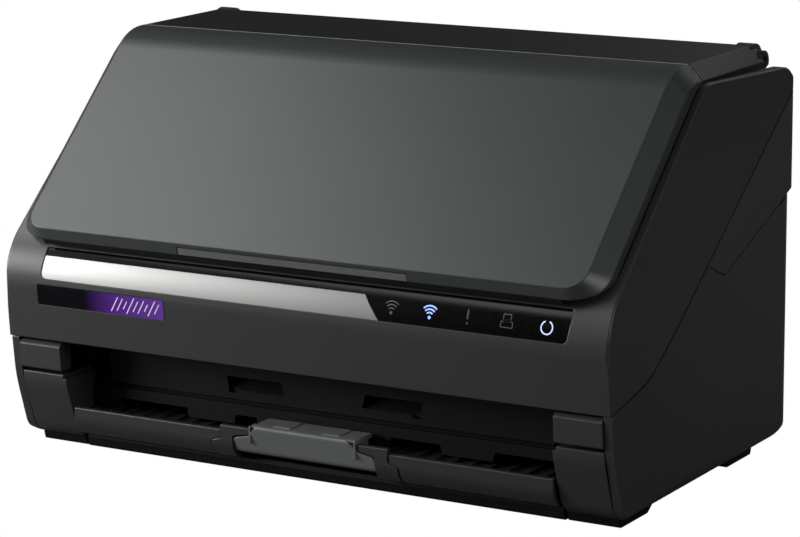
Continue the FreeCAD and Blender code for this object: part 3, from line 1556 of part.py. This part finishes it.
def build_base():
    keep("base_chassis", base_chassis())
    keep("foot_pads", foot_pads())
    keep("side_shell_right", side_shell(1))
    keep("side_shell_left", side_shell(-1))
    keep("rear_cover", rear_cover())
    for name, sign in (("left", -1), ("right", 1)):
        keep("front_post_" + name, joined([front_column(sign), hinge_block(sign)]))
        keep("side_frame_" + name, side_frame(sign))
    keep("cover_hinge_pins", cover_pins())
    keep("exit_wall", exit_wall_lower())
    keep("lower_feed_guide", feed_guide_lower())
    housing, glass = sensor(-1)
    keep("lower_sensor", housing)
    keep("lower_sensor_glass", glass)
    keep("shaft_bushes", shaft_bushes())
    keep("drive_motor", motor())
    keep("motor_pinion", motor_pinion())
    keep("feed_shaft", drive_shaft(feed_at, belt_x[1] - 3.0, belt_x))
    keep("feed_tyres", tyres(feed_at, drive_above, drive_radius))
    keep("feed_gear", feed_gear())
    keep("exit_shaft", drive_shaft(exit_at, belt_x[0] - 3.0, belt_x[:1]))
    keep("exit_tyres", tyres(exit_at, drive_above, drive_radius))
    keep("pickup_shaft", drive_shaft(pickup_at, belt_x[1] - 3.0, belt_x[1:]))
    keep("pickup_tyre", pickup_tyre())
    belts = [belt(exit_at, feed_at, belt_x[0]), belt(feed_at, pickup_at, belt_x[1])]
    keep("drive_belts", Part.makeCompound(belts))
    keep("main_board", main_board())
    keep("power_inlet", power_inlet())
    keep("data_port", data_port())
    keep("release_lever", release_lever())
    keep("latch_shaft", latch())


def build_cover():
    keep("front_cover", front_cover())
    keep("feed_cover", feed_cover())
    keep("opening_wall", exit_guide_upper())
    keep("upper_feed_guide", feed_guide_upper())
    housing, glass = sensor(1)
    keep("upper_sensor", housing)
    keep("upper_sensor_glass", glass)
    keep("hinge_arms", hinge_arms())
    keep("idler_brackets", idler_brackets())
    keep("feed_idler", pinch_roller(feed_at))
    keep("exit_idler", pinch_roller(exit_at))
    keep("separation_roller", separation_roller())
    keep("latch_keepers", keepers())
    keep("control_board", control_board())
    keep("control_window", control_lens())
    keep("silver_strip", silver_strip())
    keep("scan_key", control_key(key_x[0]))
    keep("power_key", control_key(key_x[1]))
    keep("badge_plate", badge_plate())
    keep("lid_hinge_pins", lid_pins())


def build_lid():
    keep("lid_panel", lid_panel())
    keep("lid_top_plate", lid_top())
    keep("lid_inner_face", lid_liner())
    keep("input_extension", extension_tray())
    keep("edge_guide_right", edge_guide(1))
    keep("edge_guide_left", edge_guide(-1))
    keep("guide_pinion", guide_pinion())


def build_trays():
    keep("output_tray_outer", tray_outer())
    keep("output_tray_middle", tray_middle())
    keep("output_tray_inner", tray_inner())
    keep("paper_stopper", stopper())


build_base()
build_cover()
build_lid()
build_trays()

for name, shape in nodes.items():
    shape.exportStep("parts/" + name + ".step")
    print(name, len(shape.Solids), shape.isValid(), round(shape.Volume))
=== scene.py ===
import math

import bpy
from mathutils import Matrix, Vector


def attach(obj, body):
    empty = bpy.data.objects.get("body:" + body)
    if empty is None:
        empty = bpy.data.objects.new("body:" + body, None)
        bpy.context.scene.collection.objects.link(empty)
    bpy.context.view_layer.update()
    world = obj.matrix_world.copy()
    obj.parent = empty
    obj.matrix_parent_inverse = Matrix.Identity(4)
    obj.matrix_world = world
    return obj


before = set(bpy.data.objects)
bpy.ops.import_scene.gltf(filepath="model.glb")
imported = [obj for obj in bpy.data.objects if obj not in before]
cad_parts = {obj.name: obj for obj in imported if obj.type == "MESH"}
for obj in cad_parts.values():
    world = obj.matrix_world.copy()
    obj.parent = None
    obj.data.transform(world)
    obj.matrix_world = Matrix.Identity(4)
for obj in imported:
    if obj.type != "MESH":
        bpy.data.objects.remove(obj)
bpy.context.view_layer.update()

MM = 0.001

# Camera, fitted to the photograph: where it stands, how it is turned, and its lens
CAMERA_AZIMUTH = 30.6143
CAMERA_ELEVATION = 12.1796
CAMERA_ROLL = -0.5207
CAMERA_OFFSET = (1.4009, 77.2033)
CAMERA_DISTANCE = 1342.897
LENS = 138.71
SENSOR = 36.0

# Front face of the cover in side view, from its lower edge to its slope (millimetres)
FACE_LOW = (-82.5, 50.6)
FACE_RADIUS = 29.0
FRONT_Y = -84.5
SLOPE = math.radians(41.96)
SLOPE_POINT = (-85.2, 87.3)
WINDOW_SINK = 0.4

# Indicators and keys in the window, by distance from the middle
ICON_Z = 83.6
ICON_X = {"link": 47.4, "wireless": 65.0, "error": 82.2, "scan": 99.8, "power": 117.5}
STRIP_X = (-126.3, 41.6)
BADGE_X = (-128.2, -62.7)
BADGE_Z = (66.4, 75.1)


def new_material(name):
    material = bpy.data.materials.new(name)
    material.use_nodes = True
    tree = material.node_tree
    return material, tree, tree.nodes["Principled BSDF"]


def add(tree, kind, **values):
    node = tree.nodes.new(kind)
    for key, value in values.items():
        setattr(node, key, value)
    return node


def noise(tree, scale, detail=3.0, stretch=(1, 1, 1)):
    """Noise over the object's own place in the frame, in millimetres per cell."""
    place = add(tree, "ShaderNodeTexCoord")
    mapping = add(tree, "ShaderNodeMapping")
    mapping.inputs["Scale"].default_value = stretch
    texture = add(tree, "ShaderNodeTexNoise")
    texture.inputs["Scale"].default_value = 1 / (scale * MM)
    texture.inputs["Detail"].default_value = detail
    tree.links.new(place.outputs["Object"], mapping.inputs["Vector"])
    tree.links.new(mapping.outputs["Vector"], texture.inputs["Vector"])
    return texture


def spread(tree, source, low, high):
    """Maps a 0 to 1 value to a range."""
    node = add(tree, "ShaderNodeMapRange")
    node.inputs["To Min"].default_value = low
    node.inputs["To Max"].default_value = high
    tree.links.new(source, node.inputs["Value"])
    return node.outputs["Result"]


def surface(name, colour, roughness, grain=0.6, bump=0.05, shift=0.04, metallic=0.0, edge=0.0,
            sheen=0.5, stretch=(1, 1, 1)):
    """Plain material whose colour, roughness and relief vary finely; edge softens sharp edges."""
    material, tree, shader = new_material(name)
    fine = noise(tree, grain, 4.0, stretch)
    broad = noise(tree, 40.0, 2.0)
    mix = add(tree, "ShaderNodeMix", data_type="RGBA")
    mix.inputs["A"].default_value = (*[c * 0.9 for c in colour], 1)
    mix.inputs["B"].default_value = (*[min(c * 1.1, 1) for c in colour], 1)
    tree.links.new(broad.outputs["Fac"], mix.inputs["Factor"])
    tree.links.new(mix.outputs["Result"], shader.inputs["Base Color"])
    tree.links.new(spread(tree, fine.outputs["Fac"], roughness - shift, roughness + shift), shader.inputs["Roughness"])
    relief = add(tree, "ShaderNodeBump")
    relief.inputs["Strength"].default_value = bump
    relief.inputs["Distance"].default_value = 0.05 * MM
    tree.links.new(fine.outputs["Fac"], relief.inputs["Height"])
    tree.links.new(relief.outputs["Normal"], shader.inputs["Normal"])
    if edge:
        soft = add(tree, "ShaderNodeBevel", samples=6)
        soft.inputs["Radius"].default_value = edge * MM
        tree.links.new(soft.outputs["Normal"], relief.inputs["Normal"])
    shader.inputs["Metallic"].default_value = metallic
    shader.inputs["Specular IOR Level"].default_value = sheen
    return material


def glowing(name, colour, strength):
    """Printed sign lit from behind for the indicators; on the badge's print the same glow is painted light."""
    material = surface(name, colour, 0.3, 0.4, 0.02)
    shader = material.node_tree.nodes["Principled BSDF"]
    shader.inputs["Emission Color"].default_value = (*colour, 1)
    shader.inputs["Emission Strength"].default_value = strength
    return material


def clear(name):
    material = surface(name, (0.9, 0.95, 0.95), 0.05, 2.0, 0.01)
    shader = material.node_tree.nodes["Principled BSDF"]
    shader.inputs["Transmission Weight"].default_value = 1.0
    shader.inputs["IOR"].default_value = 1.5
    return material


SHELL = surface("shell", (0.0265, 0.0295, 0.0277), 0.38, 0.5, 0.05, edge=0.5)
SIDE = surface("side", (0.024, 0.0263, 0.0250), 0.38, 0.5, 0.05, edge=0.5)
LID = surface("lid", (0.036, 0.0425, 0.0395), 0.38, 0.5, 0.04, edge=0.9)
LID_TOP = surface("lid_top", (0.010, 0.0105, 0.010), 0.36, 0.5, 0.05, edge=0.5)
INNER = surface("inner", (0.004, 0.004, 0.004), 0.50, 0.7, 0.10, sheen=0.15)
TRAY = surface("tray", (0.023, 0.0245, 0.0235), 0.30, 0.5, 0.04, edge=0.5)
BLOCK = surface("block", (0.125, 0.132, 0.129), 0.32, 0.5, 0.04, edge=0.5)
GRIP = surface("grip", (0.115, 0.120, 0.118), 0.40, 0.5, 0.04)
WINDOW = surface("window", (0.0012, 0.0012, 0.0015), 0.16, 0.8, 0.0, 0.01)
STEEL = surface("steel", (0.55, 0.55, 0.56), 0.28, 0.3, 0.05, 0.05, metallic=1.0, stretch=(0.1, 1, 1))
ZINC = surface("zinc", (0.48, 0.49, 0.50), 0.42, 0.6, 0.06, 0.05, metallic=0.9)
RUBBER = surface("rubber", (0.030, 0.030, 0.032), 0.70, 0.5, 0.20)
FOOT = surface("foot", (0.012, 0.012, 0.012), 0.80, 0.5, 0.20)
WHITE = surface("white_plastic", (0.62, 0.61, 0.57), 0.42, 0.6, 0.06)
BOARD = surface("board", (0.012, 0.07, 0.03), 0.45, 0.9, 0.10)
BRONZE = surface("bronze", (0.42, 0.28, 0.12), 0.38, 0.4, 0.08, metallic=0.9)
GLASS = clear("sensor_glass")
# Light grey of the painted highlight along the lid's seam.
SEAM_HIGHLIGHT = surface("seam", (0.34, 0.36, 0.35), 0.40, 0.4, 0.02)
DIM = surface("unlit_sign", (0.045, 0.045, 0.045), 0.45, 0.4, 0.02)
BLUE = glowing("blue_sign", (0.30, 0.42, 0.95), 0.75)
PALE = glowing("pale_sign", (0.52, 0.58, 0.95), 0.75)


def running_colour(name, start, end, stops, roughness, metallic=0.0, sheen=0.5):
    """Material whose colour runs from left to right; stops are (share of the way, colour)."""
    material, tree, shader = new_material(name)
    place = add(tree, "ShaderNodeTexCoord")
    split = add(tree, "ShaderNodeSeparateXYZ")
    along = add(tree, "ShaderNodeMapRange")
    along.inputs["From Min"].default_value = start * MM
    along.inputs["From Max"].default_value = end * MM
    ramp = add(tree, "ShaderNodeValToRGB")
    marks = ramp.color_ramp.elements
    while len(marks) < len(stops):
        marks.new(0.5)
    for mark, (share, colour) in zip(marks, stops):
        mark.position = share
        mark.color = (*colour, 1)
    tree.links.new(place.outputs["Object"], split.inputs["Vector"])
    tree.links.new(split.outputs["X"], along.inputs["Value"])
    tree.links.new(along.outputs["Result"], ramp.inputs["Fac"])
    tree.links.new(ramp.outputs["Color"], shader.inputs["Base Color"])
    fine = noise(tree, 0.5)
    tree.links.new(spread(tree, fine.outputs["Fac"], roughness - 0.03, roughness + 0.03), shader.inputs["Roughness"])
    shader.inputs["Metallic"].default_value = metallic
    shader.inputs["Specular IOR Level"].default_value = sheen
    return material


# The silver is the strip's own colour; its run from light at the left end to darker grey at the right is painted
# highlight and shade from the left lights.
STRIP_PAINTED_FALLOFF = running_colour("strip", STRIP_X[0], STRIP_X[1], (
    (0.0, (0.60, 0.60, 0.585)), (0.35, (0.44, 0.44, 0.43)), (1.0, (0.24, 0.24, 0.24))), 0.40, 0.3)
BADGE = running_colour("badge", BADGE_X[0], BADGE_X[1], (
    (0.0, (0.001, 0.001, 0.001)), (0.38, (0.002, 0.001, 0.004)), (0.62, (0.09, 0.02, 0.24)),
    (1.0, (0.13, 0.045, 0.30))), 0.24, sheen=0.15)
# Badge strokes are plain print; their emission is a painted glow, with no lamp behind them.
BADGE_PAINTED_GLOW = glowing("badge_painted_glow", (0.62, 0.50, 0.74), 0.35)

FINISH = {
    SHELL: ["front_cover", "front_post_left", "front_post_right", "release_lever"],
    SIDE: ["side_shell_left", "side_shell_right", "rear_cover"],
    LID: ["lid_panel"],
    LID_TOP: ["lid_top_plate"],
    INNER: ["base_chassis", "exit_wall", "lower_feed_guide", "lower_sensor", "feed_cover", "opening_wall",
            "upper_feed_guide", "upper_sensor", "hinge_arms", "idler_brackets", "lid_inner_face",
            "edge_guide_left", "edge_guide_right", "power_inlet", "data_port"],
    TRAY: ["output_tray_outer", "output_tray_middle"],
    BLOCK: ["output_tray_inner", "paper_stopper"],
    GRIP: ["input_extension"],
    WINDOW: ["control_window", "scan_key", "power_key"],
    STRIP_PAINTED_FALLOFF: ["silver_strip"],
    STEEL: ["cover_hinge_pins", "feed_shaft", "exit_shaft", "pickup_shaft", "latch_shaft", "latch_keepers",
            "lid_hinge_pins"],
    ZINC: ["side_frame_left", "side_frame_right", "drive_motor"],
    RUBBER: ["feed_tyres", "exit_tyres", "pickup_tyre", "separation_roller", "drive_belts"],
    FOOT: ["foot_pads"],
    WHITE: ["feed_gear", "feed_idler", "exit_idler", "guide_pinion"],
    BOARD: ["control_board", "main_board"],
    BRONZE: ["shaft_bushes", "motor_pinion"],
    GLASS: ["lower_sensor_glass", "upper_sensor_glass"],
    BADGE: ["badge_plate"],
}
for material, names in FINISH.items():
    for name in names:
        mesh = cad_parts[name].data
        mesh.materials.clear()
        mesh.materials.append(material)


def face_lines():
    """Centre of the rounding at the front face's top, and the lean of the plane below it."""
    centre_y = FRONT_Y + FACE_RADIUS
    centre_z = SLOPE_POINT[1] + (centre_y - SLOPE_POINT[0]) * math.tan(SLOPE) - FACE_RADIUS / math.cos(SLOPE)
    across, up = centre_y - FACE_LOW[0], centre_z - FACE_LOW[1]
    return (centre_y, centre_z), math.atan2(up, across) + math.asin(FACE_RADIUS / math.hypot(across, up))


CREST, LEAN = face_lines()


def face_point(z, sink):
    """y of the front face at a height, sunk inward, over its plane and then its rounding."""
    touch_z = CREST[1] + FACE_RADIUS * math.cos(LEAN)
    if z <= touch_z:
        return FACE_LOW[0] + (z - FACE_LOW[1]) / math.tan(LEAN) + sink / math.sin(LEAN)
    radius = FACE_RADIUS - sink
    return CREST[0] - math.sqrt(max(radius ** 2 - (z - CREST[1]) ** 2, 0))


def printed(name, loops, sink, lift, material, body):
    """Thin print on the front face; each loop is a strip given as pairs of (x, z) across it."""
    vertices, faces = [], []
    for strip in loops:
        first = len(vertices)
        for pair in strip:
            for x, z in pair:
                vertices.append((x * MM, (face_point(z, sink) - lift) * MM, z * MM))
        for step in range(len(strip) - 1):
            a = first + 2 * step
            faces.append((a, a + 1, a + 3, a + 2))
    mesh = bpy.data.meshes.new(name)
    mesh.from_pydata(vertices, [], faces)
    obj = bpy.data.objects.new(name, mesh)
    bpy.context.collection.objects.link(obj)
    mesh.materials.append(material)
    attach(obj, body)
    return obj


def arc(x, z, radius, width, start, end, steps=20):
    """Strip along an arc, angles in degrees from +X."""
    strip = []
    for step in range(steps + 1):
        angle = math.radians(start + (end - start) * step / steps)
        strip.append([(x + (radius + side * width / 2) * math.cos(angle),
                       z + (radius + side * width / 2) * math.sin(angle)) for side in (1, -1)])
    return strip


def bar(x0, z0, x1, z1, width, steps=6):
    """Straight strip between two points."""
    length = math.hypot(x1 - x0, z1 - z0)
    nx, nz = -(z1 - z0) / length * width / 2, (x1 - x0) / length * width / 2
    strip = []
    for step in range(steps + 1):
        t = step / steps
        x, z = x0 + (x1 - x0) * t, z0 + (z1 - z0) * t
        strip.append([(x + nx, z + nz), (x - nx, z - nz)])
    return strip


def fan_sign(x, z, width=0.6):
    """Radio fan: three arcs over a dot."""
    strips = [arc(x, z - 2.0, radius, width, 48, 132, 12) for radius in (1.9, 3.2, 4.5)]
    return strips + [arc(x, z - 2.0, 0.35, 0.7, 0, 360, 16)]


def sheet_sign(x, z):
    """Sheet going into a slot."""
    return [bar(x - 1.7, z + 0.5, x - 1.7, z + 2.8, 0.4), bar(x + 1.7, z + 0.5, x + 1.7, z + 2.8, 0.4),
            bar(x - 1.9, z + 2.8, x + 1.9, z + 2.8, 0.4), bar(x - 2.6, z, x + 2.6, z, 0.4),
            bar(x - 2.6, z - 2.2, x + 2.6, z - 2.2, 0.4), bar(x - 2.6, z - 2.2, x - 2.6, z, 0.4),
            bar(x + 2.6, z - 2.2, x + 2.6, z, 0.4)]


def power_sign(x, z):
    """Ring open at its top."""
    return [arc(x, z, 2.5, 0.55, 112, 428, 36)]


LIFT = 0.05
printed("sign_link", fan_sign(ICON_X["link"], ICON_Z, 0.45), WINDOW_SINK, LIFT, DIM, "cover")
printed("sign_wireless", fan_sign(ICON_X["wireless"], ICON_Z), WINDOW_SINK, LIFT, BLUE, "cover")
printed("sign_error", [bar(ICON_X["error"], ICON_Z - 0.9, ICON_X["error"], ICON_Z + 2.8, 0.7),
        bar(ICON_X["error"], ICON_Z - 2.8, ICON_X["error"], ICON_Z - 2.0, 0.7)], WINDOW_SINK, LIFT, DIM, "cover")
printed("sign_scan", sheet_sign(ICON_X["scan"], ICON_Z), WINDOW_SINK, LIFT, DIM, "scan_key")
printed("sign_power", power_sign(ICON_X["power"], ICON_Z - 0.4), WINDOW_SINK, LIFT, PALE, "power_key")


def badge_print():
    """Slanted strokes of uneven length on the label's purple end."""
    middle = (BADGE_Z[0] + BADGE_Z[1]) / 2
    strokes = []
    for n, reach in enumerate((2.2, 3.4, 1.6, 3.0, 2.4, 3.6, 1.8, 2.8, 3.2)):
        x = BADGE_X[1] - 3.4 - 2.7 * n
        strokes.append(bar(x - 0.6 * reach, middle - reach, x + 0.6 * reach, middle + reach, 0.45))
    return strokes


# The strokes carry the badge's painted glow: emitting print, not a lit sign.
printed("badge_strokes", badge_print(), 0.0, 0.25, BADGE_PAINTED_GLOW, "cover")


def seam_highlight_strip():
    """Painted highlight: a light grey strip standing in for the bright edge of the seam between the lid's panel and
    its top plate.
    """
    half, y, width, low, high = 133.5, 8.1, 0.6, 175.5, 175.56
    corners = [(sx * half, y + sy * width / 2, z) for z in (low, high)
               for sx, sy in ((-1, -1), (1, -1), (1, 1), (-1, 1))]
    faces = [(3, 2, 1, 0), (4, 5, 6, 7), (0, 1, 5, 4), (1, 2, 6, 5), (2, 3, 7, 6), (3, 0, 4, 7)]
    mesh = bpy.data.meshes.new("seam_highlight_strip")
    mesh.from_pydata([[v * MM for v in corner] for corner in corners], [], faces)
    obj = bpy.data.objects.new("seam_highlight_strip", mesh)
    bpy.context.collection.objects.link(obj)
    mesh.materials.append(SEAM_HIGHLIGHT)
    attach(obj, "lid")


seam_highlight_strip()


def look_at_camera():
    """Camera where the photograph was taken from."""
    azimuth, elevation, roll = [math.radians(v) for v in (CAMERA_AZIMUTH, CAMERA_ELEVATION, CAMERA_ROLL)]
    back = Vector((math.sin(azimuth) * math.cos(elevation), -math.cos(azimuth) * math.cos(elevation),
                   math.sin(elevation)))
    right = Vector((0, 0, 1)).cross(back).normalized()
    up = back.cross(right)
    turned_right = right * math.cos(roll) + up * math.sin(roll)
    turned_up = up * math.cos(roll) - right * math.sin(roll)
    position = turned_right * CAMERA_OFFSET[0] + turned_up * CAMERA_OFFSET[1] + back * CAMERA_DISTANCE
    data = bpy.data.cameras.new("camera")
    data.lens = LENS
    data.sensor_width = SENSOR
    data.clip_end = 20.0
    camera = bpy.data.objects.new("camera", data)
    bpy.context.collection.objects.link(camera)
    rotation = Matrix((turned_right, turned_up, back)).transposed()
    camera.matrix_world = Matrix.Translation(position * MM) @ rotation.to_4x4()
    bpy.context.scene.camera = camera


def soft_light(name, place, target, size, power):
    data = bpy.data.lights.new(name, "AREA")
    data.shape = "RECTANGLE"
    data.size, data.size_y = size
    data.energy = power
    light = bpy.data.objects.new(name, data)
    bpy.context.collection.objects.link(light)
    direction = Vector(target) - Vector(place)
    light.matrix_world = Matrix.Translation(Vector(place)) @ direction.to_track_quat("-Z", "Y").to_matrix().to_4x4()
    return light


def white_world():
    """White to the camera, a soft grey to everything else."""
    world = bpy.data.worlds.new("world")
    bpy.context.scene.world = world
    world.use_nodes = True
    tree = world.node_tree
    back = tree.nodes["Background"]
    path = add(tree, "ShaderNodeLightPath")
    mix = add(tree, "ShaderNodeMix", data_type="RGBA")
    mix.inputs["A"].default_value = (0.03, 0.03, 0.03, 1)
    mix.inputs["B"].default_value = (1, 1, 1, 1)
    tree.links.new(path.outputs["Is Camera Ray"], mix.inputs["Factor"])
    tree.links.new(mix.outputs["Result"], back.inputs["Color"])


def floor():
    """Pale ground that looks plain white to the camera."""
    mesh = bpy.data.meshes.new("floor")
    reach = 6.0
    level = -0.0002
    mesh.from_pydata([(-reach, -reach, level), (reach, -reach, level), (reach, reach, level), (-reach, reach, level)],
                     [], [(0, 1, 2, 3)])
    obj = bpy.data.objects.new("floor", mesh)
    bpy.context.collection.objects.link(obj)
    material, tree, shader = new_material("floor")
    shader.inputs["Base Color"].default_value = (0.12, 0.12, 0.12, 1)
    shader.inputs["Roughness"].default_value = 0.9
    path = add(tree, "ShaderNodeLightPath")
    white = add(tree, "ShaderNodeEmission")
    mix = add(tree, "ShaderNodeMixShader")
    output = tree.nodes["Material Output"]
    tree.links.new(path.outputs["Is Camera Ray"], mix.inputs["Fac"])
    tree.links.new(shader.outputs["BSDF"], mix.inputs[1])
    tree.links.new(white.outputs["Emission"], mix.inputs[2])
    tree.links.new(mix.outputs["Shader"], output.inputs["Surface"])
    mesh.materials.append(material)


look_at_camera()
white_world()
floor()
soft_light("upper_left", (-0.78, -0.25, 0.95), (-0.14, -0.05, 0.12), (0.45, 0.5), 3.7)
soft_light("left", (-0.95, -0.62, 0.35), (-0.12, -0.08, 0.08), (0.5, 0.4), 13)
soft_light("front_high", (-0.34, -0.74, 0.86), (0.0, -0.08, 0.09), (1.3, 0.35), 2.2)
soft_light("front", (0.1, -1.9, 0.9), (0, 0, 0.08), (1.4, 0.5), 0.8)
soft_light("right", (1.7, -0.5, 0.7), (0.14, 0, 0.1), (0.6, 1.0), 9.5)
soft_light("rear", (0.2, 1.3, 1.0), (0, 0, 0.15), (1.4, 0.4), 1.5)
soft_light("back", (-0.05, 1.5, 0.2), (0, 0.05, 0.08), (0.3, 0.3), 9)

bpy.context.scene.view_settings.view_transform = "Standard"
